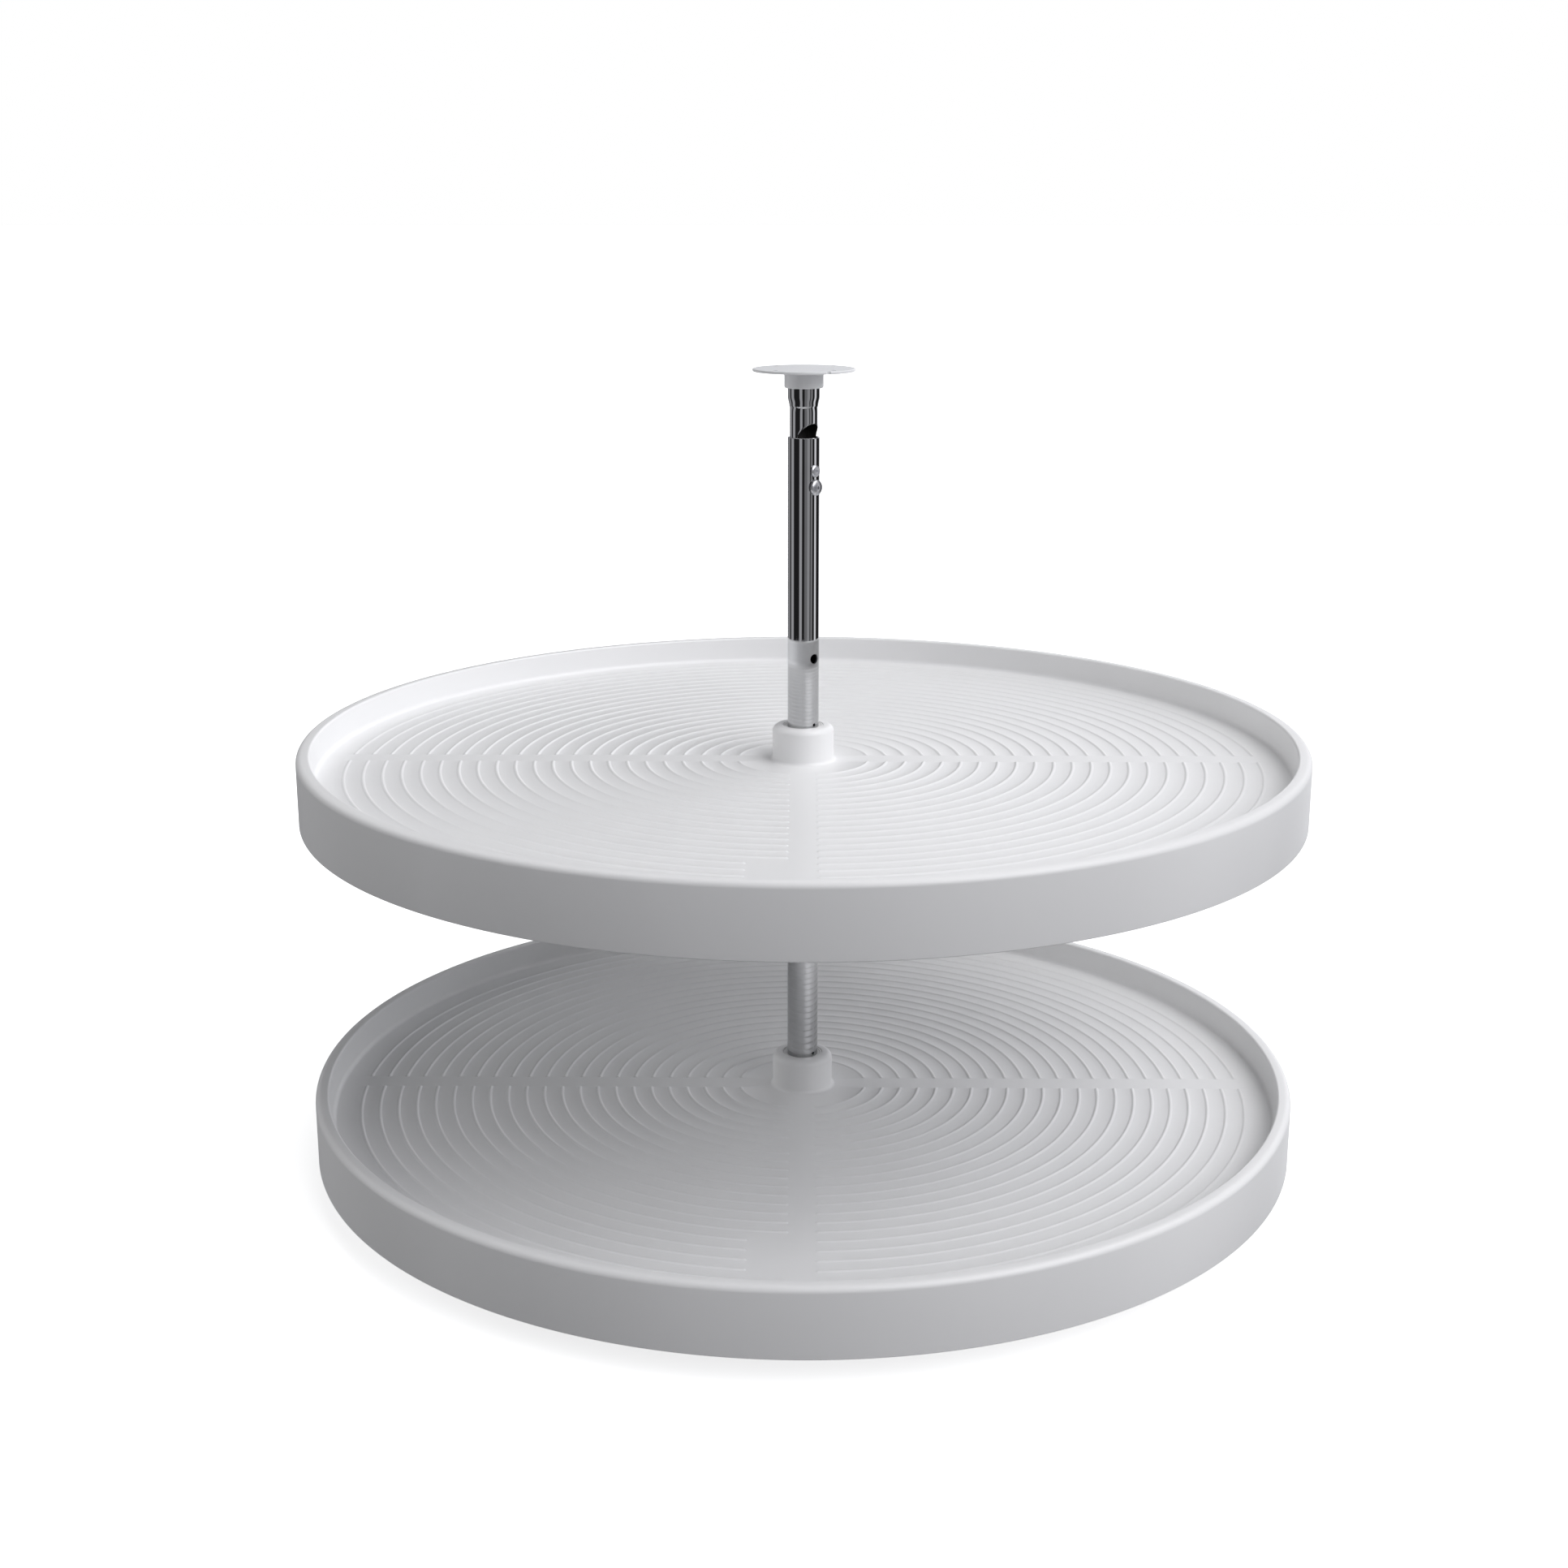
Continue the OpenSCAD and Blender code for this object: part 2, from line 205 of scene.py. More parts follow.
class Graph:
    """A node tree that is written as expressions."""

    def __init__(self, owner):
        owner.use_nodes = True
        self.tree = owner.node_tree
        self.tree.nodes.clear()

    def node(self, kind, settings=None, inputs=None, output=0):
        made = self.tree.nodes.new(kind)
        for key, value in (settings or {}).items():
            if key == "stops":
                self.set_stops(made.color_ramp, value)
            else:
                setattr(made, key, value)
        for key, value in (inputs or {}).items():
            if isinstance(value, Value):
                self.tree.links.new(value.socket, made.inputs[key])
            else:
                made.inputs[key].default_value = value
        return Value(self, made.outputs[output]) if made.outputs else None

    @staticmethod
    def set_stops(ramp, stops):
        while len(ramp.elements) > 1:
            ramp.elements.remove(ramp.elements[-1])
        ramp.elements[0].position, ramp.elements[0].color = stops[0][0], (*stops[0][1], 1)
        for position, tone in stops[1:]:
            ramp.elements.new(position).color = (*tone, 1)

    def position(self):
        return self.node("ShaderNodeTexCoord", output="Object")

    def stretched(self, scale):
        settings = {"operation": "MULTIPLY"}
        return self.node("ShaderNodeVectorMath", settings, {0: self.position(), 1: scale})

    def noise(self, scale, detail=3.0, roughness=0.5, along=(1, 1, 1)):
        inputs = {
            "Vector": self.stretched(along), "Scale": scale, "Detail": detail, "Roughness": roughness}
        return self.node("ShaderNodeTexNoise", {}, inputs)

    def parts(self, vector):
        """The x, y and z of a vector."""
        return [self.node("ShaderNodeSeparateXYZ", {}, {0: vector}, output=axis) for axis in range(3)]

    def blend(self, mask, first, second):
        settings = {"data_type": "RGBA"}
        return self.node(
            "ShaderNodeMix", settings, {0: mask, 6: (*first, 1), 7: (*second, 1)}, output=2)

    def bump(self, height, depth):
        return self.node("ShaderNodeBump", {}, {"Height": height, "Distance": depth, "Strength": 1.0})

    def surface(self, inputs):
        shader = self.node("ShaderNodeBsdfPrincipled", {}, inputs)
        self.node("ShaderNodeOutputMaterial", {}, {"Surface": shader})


def new_material(name):
    made = bpy.data.materials.new(name)
    return made, Graph(made)


def moulded_plastic(name, tone, shade, roughness, pebble=2600.0):
    """Satin moulded plastic: faint clouds in the colour, a fine pebble texture and uneven gloss."""
    made, graph = new_material(name)
    clouds = graph.noise(9.0, detail=4.0)
    pebbles = graph.noise(pebble, detail=2.0, roughness=0.6)
    flow = graph.noise(38.0, detail=5.0, along=(1, 1, 0.35))
    scuffs = graph.noise(160.0, detail=6.0, along=(1, 0.12, 1)).between(0.66, 0.74)
    fine_shade = 0.5 + (pebbles - 0.5) * 0.35
    graph.surface({
        "Base Color": graph.blend(clouds * 0.6 + fine_shade * 0.4, shade, tone),
        "Roughness": roughness + (flow - 0.5) * 0.14 + scuffs * 0.08,
        "Normal": graph.bump(pebbles + flow * 0.3, 0.06 * MM),
        "IOR": 1.49,
    })
    return made


def plated_chrome(name, tone):
    """Bright chrome plate over drawn tube: faint draw lines along the tube and soft smudges."""
    made, graph = new_material(name)
    draw_lines = graph.noise(900.0, detail=2.0, along=(1, 1, 0.004))
    smudges = graph.noise(55.0, detail=4.0).between(0.5, 0.8)
    specks = graph.noise(2400.0, detail=1.0).between(0.74, 0.8)
    duller = tuple(0.86 * part for part in tone)
    graph.surface({
        "Base Color": graph.blend(smudges * 0.4 + specks * 0.4, tone, duller),
        "Metallic": 1.0,
        "Roughness": 0.012 + smudges * 0.03 + draw_lines * 0.012,
        "Normal": graph.bump(draw_lines, 0.0012 * MM),
    })
    return made


def tube_bore(name):
    """Bare inside of a drawn tube: dark oily steel with lengthways streaks."""
    made, graph = new_material(name)
    streaks = graph.noise(700.0, detail=3.0, along=(1, 1, 0.02))
    oil = graph.noise(90.0, detail=4.0)
    graph.surface({
        "Base Color": graph.blend(oil, (0.030, 0.028, 0.027), (0.055, 0.053, 0.05)),
        "Metallic": 0.4,
        "Roughness": 0.55 + streaks * 0.2,
        "Normal": graph.bump(streaks, 0.01 * MM),
    })
    return made


def zinc_plate(name, tone):
    """Zinc-plated steel: cloudy tone, blue passivation and fine scratches."""
    made, graph = new_material(name)
    clouds = graph.noise(420.0, detail=4.0)
    scratches = graph.noise(1500.0, detail=3.0, along=(1, 0.1, 1)).between(0.55, 0.75)
    blue = (tone[0] * 0.84, tone[1] * 0.86, tone[2] * 0.92)
    graph.surface({
        "Base Color": graph.blend(clouds.between(0.35, 0.65), tone, blue),
        "Metallic": 1.0,
        "Roughness": 0.26 + clouds * 0.14 + scratches * 0.12,
        "Normal": graph.bump(clouds + scratches * 0.5, 0.01 * MM),
    })
    return made


def ground_steel(name, tone):
    """Ground bearing steel: rings of grinding marks about the post."""
    made, graph = new_material(name)
    x, y, _ = graph.parts(graph.position())
    radius = (x * x + y * y) ** 0.5
    rings = graph.node("ShaderNodeTexNoise", {"noise_dimensions": "1D"}, {"W": radius, "Scale": 4200.0})
    oil = graph.noise(180.0, detail=3.0).between(0.45, 0.7)
    darker = tuple(0.72 * part for part in tone)
    graph.surface({
        "Base Color": graph.blend(oil, tone, darker),
        "Metallic": 1.0,
        "Roughness": 0.34 - oil * 0.16 + rings * 0.06,
        "Normal": graph.bump(rings, 0.008 * MM),
    })
    return made


# ---------------------------------------------------------------- mesh helpers


def arc_between(start, corner, end, radius, steps):
    """Points of the arc that rounds corner between the points start and end."""
    corner = Vector(corner)
    back = (Vector(start) - corner).normalized()
    ahead = (Vector(end) - corner).normalized()
    half = back.angle(ahead) / 2
    reach = radius / math.tan(half)
    centre = corner + (back + ahead).normalized() * radius / math.sin(half)
    first = corner + back * reach - centre
    last = corner + ahead * reach - centre
    turn = math.atan2(first.x * last.y - first.y * last.x, first.dot(last))
    points = []
    for i in range(steps + 1):
        angle = turn * i / steps
        points.append(centre + Matrix.Rotation(angle, 2) @ first)
    return [tuple(point) for point in points]


def rounded(corners, steps=6):
    """An outline from corners (x, y, radius): a corner with a radius becomes an arc."""
    points = []
    for i, (x, y, radius) in enumerate(corners):
        if radius:
            start, end = corners[i - 1][:2], corners[(i + 1) % len(corners)][:2]
            points += arc_between(start, (x, y), end, radius, steps)
        else:
            points.append((x, y))
    return points


def new_mesh(name, vertices, faces):
    mesh = bpy.data.meshes.new(name)
    mesh.from_pydata(vertices, [], faces)
    form = bmesh.new()
    form.from_mesh(mesh)
    bmesh.ops.recalc_face_normals(form, faces=form.faces)
    form.to_mesh(mesh)
    form.free()
    made = bpy.data.objects.new(name, mesh)
    bpy.context.scene.collection.objects.link(made)
    return made


def grid_faces(rows, columns, first=0, close_rows=True, close_columns=True):
    """Quads of a grid whose vertex (row, column) is number first + row * columns + column."""
    faces = []
    for i in range(rows if close_rows else rows - 1):
        for j in range(columns if close_columns else columns - 1):
            up, right = (i + 1) % rows, (j + 1) % columns
            corners = (i * columns + j, i * columns + right, up * columns + right, up * columns + j)
            faces.append(tuple(first + corner for corner in corners))
    return faces


def revolved(name, outline, columns=96, axis_angle=0.0, sweep=math.tau):
    """A closed outline of (radius, height) turned about Z. Points at radius 0 are kept as poles."""
    whole_turn = sweep == math.tau
    steps = columns if whole_turn else columns + 1
    angles = [axis_angle + sweep * j / columns for j in range(steps)]
    vertices = [(r * math.cos(a), r * math.sin(a), z) for r, z in outline for a in angles]
    faces = grid_faces(len(outline), steps, close_columns=whole_turn)
    if not whole_turn:
        faces.append(tuple(i * steps for i in range(len(outline))))
        faces.append(tuple(i * steps + columns for i in range(len(outline))))
    made = new_mesh(name, vertices, faces)
    merge_close(made)
    return made


def merge_close(piece, distance=1e-7):
    form = bmesh.new()
    form.from_mesh(piece.data)
    bmesh.ops.remove_doubles(form, verts=form.verts, dist=distance)
    bmesh.ops.dissolve_degenerate(form, edges=form.edges, dist=distance)
    bmesh.ops.recalc_face_normals(form, faces=form.faces)
    form.to_mesh(piece.data)
    form.free()


def apply_modifiers(piece):
    bpy.context.view_layer.update()
    evaluated = piece.evaluated_get(bpy.context.evaluated_depsgraph_get())
    mesh = bpy.data.meshes.new_from_object(evaluated)
    piece.modifiers.clear()
    piece.data = mesh


def cut(piece, cutters):
    """Takes the cutters away from the piece and removes them."""
    for cutter in cutters:
        tool = piece.modifiers.new("cut", "BOOLEAN")
        tool.operation = "DIFFERENCE"
        tool.solver = "EXACT"
        tool.object = cutter
    apply_modifiers(piece)
    for cutter in cutters:
        bpy.data.objects.remove(cutter)


def ease_edges(piece, width, angle=50.0, segments=2):
    """Breaks every hard edge of the piece with a small bevel."""
    tool = piece.modifiers.new("edges", "BEVEL")
    tool.width = width
    tool.segments = segments
    tool.limit_method = "ANGLE"
    tool.angle_limit = math.radians(angle)
    apply_modifiers(piece)


def smooth(piece, sharp_angle=35.0):
    piece.data.shade_smooth()
    piece.data.set_sharp_from_angle(angle=math.radians(sharp_angle))


def weigh_normals(piece):
    """Keeps large flat faces flat where small bevels meet them."""
    smooth(piece, 50.0)
    tool = piece.modifiers.new("normals", "WEIGHTED_NORMAL")
    tool.weight = 100
    tool.keep_sharp = True
    apply_modifiers(piece)


def cylinder_normals(piece):
    """Gives the faces of a drilled tube the true normals of its round walls."""
    nearly_square, nearly_upright = 0.97, 0.02
    mesh = piece.data
    normals = []
    for face in mesh.polygons:
        for corner in face.loop_indices:
            spot = mesh.vertices[mesh.loops[corner].vertex_index].co
            outward = Vector((spot.x, spot.y, 0)).normalized()
            facing = face.normal.dot(outward)
            round_wall = abs(facing) > nearly_square and abs(face.normal.z) < nearly_upright
            normals.append(outward * math.copysign(1, facing) if round_wall else Vector((0, 0, 0)))
    mesh.normals_split_custom_set(normals)


def turned_outwards(piece, z):
    """Lays a piece made about Z along the lock screw's direction, at height z."""
    side = Matrix.Rotation(DRILL_ANGLE, 4, "Z") @ Matrix.Rotation(math.pi / 2, 4, "Y")
    piece.data.transform(Matrix.Translation((0, 0, z)) @ side)


def drill(z, radius, reach=0.03, start=0.0):
    """A cutter for a round hole in the side of the post."""
    end = start + reach
    made = revolved("drill", [(0, start), (radius, start), (radius, end), (0, end)], 48)
    turned_outwards(made, z)
    return made


def finish_piece(piece, node, look, sharp_angle=35.0, smooth_it=True):
    """Gives a piece its finish and puts it in place of a CAD node."""
    if smooth_it:
        smooth(piece, sharp_angle)
    piece.data.materials.clear()
    piece.data.materials.append(look)
    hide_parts(node)
    bodies = frame["record"]["behaviour"]["bodies"]
    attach(piece, next(name for name, nodes in bodies.items() if node in nodes))


def clothe(nodes, look):
    """Gives CAD nodes whose shape is right a better finish."""
    for name in nodes:
        for place in frame["nodes"][name].material_slots:
            place.material = look


# ---------------------------------------------------------------- trays

LIP = 10.9 * MM
FLOOR_TOP = 32.0 * MM
FLOOR_T = 3.2 * MM
WALL = 3.0 * MM
HUB_R = 25.0 * MM
HUB_TOP = 61.0 * MM
WALL_DRAFT = 2.2 * MM
HUB_FOOT = 10.0 * MM
RACE_SEAT = 12.0 * MM
RACE_R = 23.3 * MM
TRAY_H = 54.4 * MM
PANEL_RINGS = range(16, 20)
RING_ACROSS = (-1, -0.68, -0.34, 0, 0.34, 0.68, 1)
RING_END = (-0.15, 0.15, 0.4, 0.6, 0.8, 1.0, 1.5)
BAND_STEPS, PANEL_STEPS, QUARTER_STEPS = 6, 6, 54


def band_angle(offset, r):
    """Angle from an axis to the line that runs beside it at a distance of offset."""
    nearest, widest = 48.0 * MM, 0.66
    return math.asin(min(offset / max(r, nearest), widest))


def spread(low, high, steps):
    """Columns with equal steps between two columns, both left out."""
    return [lambda r, k=k: low(r) + (high(r) - low(r)) * k / steps for k in range(1, steps)]


def quarter_columns(look, with_panel):
    """Columns of one quarter of the tray, each a function that gives its angle at a radius."""
    half = look.ring_width / 2
    near = [lambda r, k=k: band_angle(look.band + half * k, r) for k in RING_END]
    far = [lambda r, column=column: math.pi / 2 - column(r) for column in reversed(near)]
    columns = list(near)
    if with_panel:
        edge = [lambda r, k=k: band_angle(look.panel + half * k, r) for k in RING_END]
        columns += [*spread(near[-1], edge[0], PANEL_STEPS), *edge]
    columns += [*spread(columns[-1], far[0], QUARTER_STEPS), *far]
    for k in range(1, BAND_STEPS):
        across = 2 * k / BAND_STEPS - 1
        columns.append(lambda r, across=across: math.pi / 2 + band_angle(look.band, r) * across)
    return columns


def tray_columns(look):
    """All columns round the tray. The blank panel is to the left of the front band, at -Y."""
    columns = []
    for quarter in range(4):
        start = -math.pi / 2 - quarter * math.pi / 2
        for column in quarter_columns(look, with_panel=quarter == 0):
            columns.append(lambda r, s=start, c=column: s - c(r))
    return columns


def ring_lift(look, r, angle):
    """Height of the rings above the floor at a point. Each ring ends round at the bands."""
    number = min(max(round((r - look.ring_first) / look.ring_pitch), 0), look.ring_count - 1)
    across = r - (look.ring_first + number * look.ring_pitch)
    half = look.ring_width / 2
    if abs(across) >= half:
        return 0.0
    x, y = r * math.cos(angle), r * math.sin(angle)
    gap = min(abs(x), abs(y)) - look.band
    if number in PANEL_RINGS and x < 0 and y < 0 and abs(x) < abs(y):
        gap = min(gap, abs(x) - look.panel)
    past_end = max(0.0, half - gap)
    distance = min(1.0, math.hypot(across, past_end) / half)
    return look.ring_height * math.cos(distance * math.pi / 2) ** 2


def floor_rows(look, inner, outer):
    """Radii of the floor's rows, close together where a ring rises."""
    half = look.ring_width / 2
    rows = [inner]
    for k in range(look.ring_count):
        middle = look.ring_first + k * look.ring_pitch
        rows += [middle + half * part for part in RING_ACROSS]
        rows.append(middle + look.ring_pitch / 2)
    return [r for r in rows if r < outer - 0.5 * MM] + [outer]


def tray_section(look):
    """Closed section of a tray as (radius, height, on_floor)."""
    lip_in = TRAY_R - LIP
    foot_r = lip_in - WALL_DRAFT
    bore = BUSH_R + SEATING
    soft = 0.5 * MM
    below = rounded([
        (foot_r, FLOOR_TOP, 4.0 * MM),
        (HUB_R, FLOOR_TOP, 3.0 * MM),
        (HUB_R, HUB_TOP, 5.0 * MM),
        (bore, HUB_TOP, soft),
        (bore, RACE_SEAT, 0.0),
        (RACE_R, RACE_SEAT, 0.0),
        (RACE_R, HUB_FOOT, 0.3 * MM),
        (HUB_R + 1 * MM, HUB_FOOT, soft),
        (HUB_R, FLOOR_TOP - FLOOR_T, 2.0 * MM),
        (foot_r + WALL + 1 * MM, FLOOR_TOP - FLOOR_T, 1.0 * MM),
        (lip_in + WALL, TRAY_H - WALL, 1.0 * MM),
        (TRAY_R - WALL, TRAY_H - WALL, 1.0 * MM),
        (TRAY_R - WALL, 0.0, 0.6 * MM),
        (TRAY_R, 0.0, 0.8 * MM),
        (TRAY_R, TRAY_H, 5.0 * MM),
        (lip_in, TRAY_H, 2.0 * MM),
    ], steps=8)
    level, floor_width = 1e-7, 0.1
    section = []
    for i, (r, z) in enumerate(below):
        section.append((r, z, False))
        following = below[(i + 1) % len(below)]
        both_on_floor = abs(z - FLOOR_TOP) < level and abs(following[1] - FLOOR_TOP) < level
        if both_on_floor and r - following[0] > floor_width:
            inner_rows = floor_rows(look, following[0], r)[1:-1]
            section += [(row, z, True) for row in reversed(inner_rows)]
    return section


def stiffener(name, angle, inner, outer, foot, top, thickness=2.2 * MM, draft=0.25 * MM):
    """A moulded rib along a radius, a little thicker where it meets the tray."""
    half, wide = thickness / 2, thickness / 2 + draft
    turn = Matrix.Rotation(angle, 3, "Z")
    vertices = []
    for r in (inner, outer):
        for z, w in ((foot, half), (top, wide)):
            vertices += [turn @ Vector((r, side * w, z)) for side in (-1, 1)]
    faces = [(0, 1, 3, 2), (4, 6, 7, 5), (0, 4, 5, 1), (2, 3, 7, 6), (0, 2, 6, 4), (1, 5, 7, 3)]
    made = new_mesh(name, vertices, faces)
    ease_edges(made, 0.4 * MM)
    return made


def tray_underside(z):
    """Radial and ring stiffeners, and the round marks of the mould's ejector pins."""
    foot, top = 16.0 * MM, FLOOR_TOP - 1 * MM
    hoop_foot, hoop_half, hoop_draft = foot + 3 * MM, 1.1 * MM, 0.2 * MM
    mark_r, mark_foot = 4 * MM, FLOOR_TOP - FLOOR_T - 0.3 * MM
    skirt_in, lip_in = TRAY_R - WALL, TRAY_R - LIP
    count = 16
    made = []
    for i in range(count):
        angle = (i + 0.5) * math.tau / count
        made.append(stiffener("rib", angle, HUB_R - 1 * MM, skirt_in + 1 * MM, foot, top))
        made.append(stiffener("gusset", angle, lip_in + 1 * MM, skirt_in + 0.5 * MM, foot, TRAY_H - 2 * MM))
        turn = Matrix.Rotation(i * math.tau / count, 4, "Z")
        for r in (95 * MM, 205 * MM, 335 * MM):
            mark = revolved("mark", [(0, mark_foot), (mark_r, mark_foot), (mark_r, top), (0, top)], 24)
            mark.data.transform(turn @ Matrix.Translation((r, 0, 0)))
            made.append(mark)
    for r in (140 * MM, 270 * MM):
        outline = rounded([
            (r - hoop_half, hoop_foot, 0.4 * MM), (r + hoop_half, hoop_foot, 0.4 * MM),
            (r + hoop_half + hoop_draft, top, 0), (r - hoop_half - hoop_draft, top, 0)], steps=2)
        made.append(revolved("hoop", outline, 192))
    for piece in made:
        piece.data.transform(Matrix.Translation((0, 0, z)))
    return made


def join(piece, others):
    """Adds the others' meshes to the piece and removes them."""
    form = bmesh.new()
    for part in [piece, *others]:
        form.from_mesh(part.data)
    form.to_mesh(piece.data)
    form.free()
    for part in others:
        bpy.data.objects.remove(part)


def build_tray(tier, look, finish):
    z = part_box(tier + "_tray")[0].z
    columns = tray_columns(look)
    section = tray_section(look)
    vertices = []
    for r, height, on_floor in section:
        for column in columns:
            angle = column(r)
            lift = ring_lift(look, r, angle) if on_floor else 0.0
            vertices.append((r * math.cos(angle), r * math.sin(angle), z + height + lift))
    made = new_mesh(tier + "_tray_moulding", vertices, grid_faces(len(section), len(columns)))
    join(made, tray_underside(z))
    finish_piece(made, tier + "_tray", finish, sharp_angle=42.0)


class LAZYSUSAN_OT_trays(bpy.types.Operator):
    """Build the two moulded trays with their ringed floors"""

    bl_idname = "lazysusan.trays"
    bl_label = "Trays"

    def execute(self, context):
        look = context.scene.tray_look
        finish = moulded_plastic("tray_plastic", look.tone, look.shade, look.roughness)
        for tier in TIERS:
            build_tray(tier, look, finish)
        return {"FINISHED"}


# ---------------------------------------------------------------- bushes and flanges


class LAZYSUSAN_OT_bushes(bpy.types.Operator):
    """Build the sleeve in each tray's hub"""

    bl_idname = "lazysusan.bushes"
    bl_label = "Bushes"

    def execute(self, context):
        finish = moulded_plastic(
            "bush_acetal", context.scene.post_look.acetal, (0.76, 0.76, 0.75), 0.3, pebble=4000.0)
        for tier in TIERS:
            low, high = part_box(tier + "_bush")
            bore, inset, step = POST_R + SEATING, BUSH_R - 1.5 * MM, 0.5 * MM
            outline = rounded([
                (bore, low.z, 0.4 * MM), (BUSH_R, low.z, 0.4 * MM),
                (BUSH_R, high.z, 0.5 * MM), (inset, high.z, 0.2 * MM),
                (inset - 0.2 * MM, high.z - step, 0.2 * MM), (bore, high.z - step, 0.4 * MM)], steps=4)
            made = revolved(tier + "_bush_sleeve", outline, 96)
            finish_piece(made, tier + "_bush", finish)
        return {"FINISHED"}


def build_flange(node, name, finish, darker_face_finish):
    """A disc with a socket, four countersunk holes and a notch in its rim."""
    thick, height, socket_r = 2.2 * MM, 15.1 * MM, 15.45 * MM
    bore, stop = POST_R + SEATING, 3.0 * MM
    outline = rounded([
        (0.0, 0.0, 0.0), (FLANGE_R, 0.0, 0.5 * MM), (FLANGE_R, thick, 0.7 * MM),
        (socket_r, thick, 1.6 * MM), (socket_r, height, 1.2 * MM),
        (bore, height, 0.4 * MM), (bore, stop, 0.0), (0.0, stop, 0.0)], steps=6)[1:]
    hub_rows = [(r * MM, 0.0) for r in (0, 12, 20, 25, 28.5, 35.5)]
    rim_rows = [(r * MM, thick) for r in (35.5, 28.5, 25)]
    rim = next(i for i, point in enumerate(outline) if point[0] < 20 * MM)
    outline = [*hub_rows, *outline[:rim], *rim_rows, *outline[rim:]]
    made = revolved(name, outline, 144)
    hole, sink, land = 2.6 * MM, 4.2 * MM, 0.6 * MM
    bolt_circle_r, first_bolt_angle = 32 * MM, 45
    notch_r, notch_angle = 2 * MM, -62
    below, above = -MM, thick + MM
    cutters = []
    for i in range(4):
        tool = revolved("sink", [
            (0, below), (hole, below), (hole, land), (sink, thick), (sink, above), (0, above)], 48)
        turn = Matrix.Rotation(math.radians(first_bolt_angle + 90 * i), 4, "Z")
        tool.data.transform(turn @ Matrix.Translation((bolt_circle_r, 0, 0)))
        cutters.append(tool)
    notch = revolved("notch", [(0, below), (notch_r, below), (notch_r, above), (0, above)], 32)
    turn = Matrix.Rotation(math.radians(notch_angle), 4, "Z")
    notch.data.transform(turn @ Matrix.Translation((FLANGE_R, 0, 0)))
    cut(made, [*cutters, notch])
    ease_edges(made, 0.15 * MM)
    if node == "top_flange":
        flip = Matrix.Translation((0, 0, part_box(node)[1].z)) @ Matrix.Scale(-1, 4, (0, 0, 1))
        made.data.transform(flip)
        made.data.flip_normals()
    weigh_normals(made)
    finish_piece(made, node, finish, smooth_it=False)
    made.data.materials.append(darker_face_finish)
    # Painted light: the flat mounting face gets the darker copy of the plastic, and the socket and rim get the
    # lighter copy, which stands in for light in the shade under the disc.
    mount_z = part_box(node)[1 if node == "top_flange" else 0].z
    for face in made.data.polygons:
        on_mounting_face = abs(face.center.z - mount_z) < 0.01 * MM
        face.material_index = 1 if on_mounting_face else 0


class LAZYSUSAN_OT_flanges(bpy.types.Operator):
    """Build the flange at each end of the post"""

    bl_idname = "lazysusan.flanges"
    bl_label = "Flanges"

    def execute(self, context):
        look = context.scene.post_look
        # A lighter and a darker copy of one plastic: painted light on the socket and rim, painted shade on the
        # flat face.
        finish = moulded_plastic("flange_plastic_painted_lighter", look.flange, (0.84, 0.845, 0.86), 0.42, pebble=3200.0)
        darker_face_finish = moulded_plastic(
            "flange_face_plastic", look.flange_face_painted_darker, (0.70, 0.71, 0.73), 0.5, pebble=1800.0)
        build_flange("base_flange", "base_flange_disc", finish, darker_face_finish)
        build_flange("top_flange", "top_flange_disc", finish, darker_face_finish)
        return {"FINISHED"}


# ---------------------------------------------------------------- post


def tube_rows(low, high, busy, step=6 * MM):
    """Heights of a tube's rows, with extra ones on both sides of each busy height."""
    rows = {low, high}
    for z in busy:
        rows.update(z + k * step for k in (-1, 1))
    return sorted(row for row in rows if low <= row <= high)


def build_lower_tube(finish, bore_finish, edge_finish):
    low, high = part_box("lower_tube")
    wall, index_hole_r, sight_hole_r, pin_hole_r = 1.6 * MM, 1.4 * MM, 4 * MM, 2.55 * MM
    bore = POST_R - wall
    pin_rows = [middle_height(tier + "_carrier_pin") for tier in TIERS]
    holes = [(88.9 * MM, index_hole_r), (374.8 * MM, index_hole_r), (429.6 * MM, sight_hole_r)]
    holes += [(LOCK_SPOT.z, 3.2 * MM), (RIVET_Z, 2.45 * MM)]
    rows = tube_rows(low.z, high.z, [z for z, _ in holes] + pin_rows)
    edge = 0.35 * MM
    outside = [(POST_R, z) for z in rows[1:-1]]
    inside = [(bore, z) for z in reversed(rows[1:-1])]
    outline = [
        (bore + edge, low.z), (POST_R - edge, low.z), (POST_R, low.z + edge), *outside,
        (POST_R, high.z - edge), (POST_R - edge, high.z), (bore + edge, high.z), (bore, high.z - edge),
        *inside, (bore, low.z + edge)]
    made = revolved("lower_tube_drawn", outline, 128)
    cutters = [drill(z, radius) for z, radius in holes]
    cutters += [drill(z, pin_hole_r, reach=60 * MM, start=-30 * MM) for z in pin_rows]
    cut(made, cutters)
    smooth(made)
    cylinder_normals(made)
    finish_piece(made, "lower_tube", finish, smooth_it=False)
    dress_bore(made, bore_finish, edge_finish)


def swage_profile(neck, low, high, steps=10):
    """Outer radius and height up the tube's swage: a small step and then a smooth flare."""
    step_out, step_up = 0.45 * MM, 0.7 * MM
    profile = [(neck, low), (neck + step_out, low + step_up)]
    for i in range(1, steps + 1):
        part = i / steps
        widen = (1 - math.cos(math.pi * part)) / 2
        start = neck + step_out
        profile.append((start + (POST_R - start) * widen, low + step_up + (high - low - step_up) * part))
    return profile


ARCH_STEPS = 36


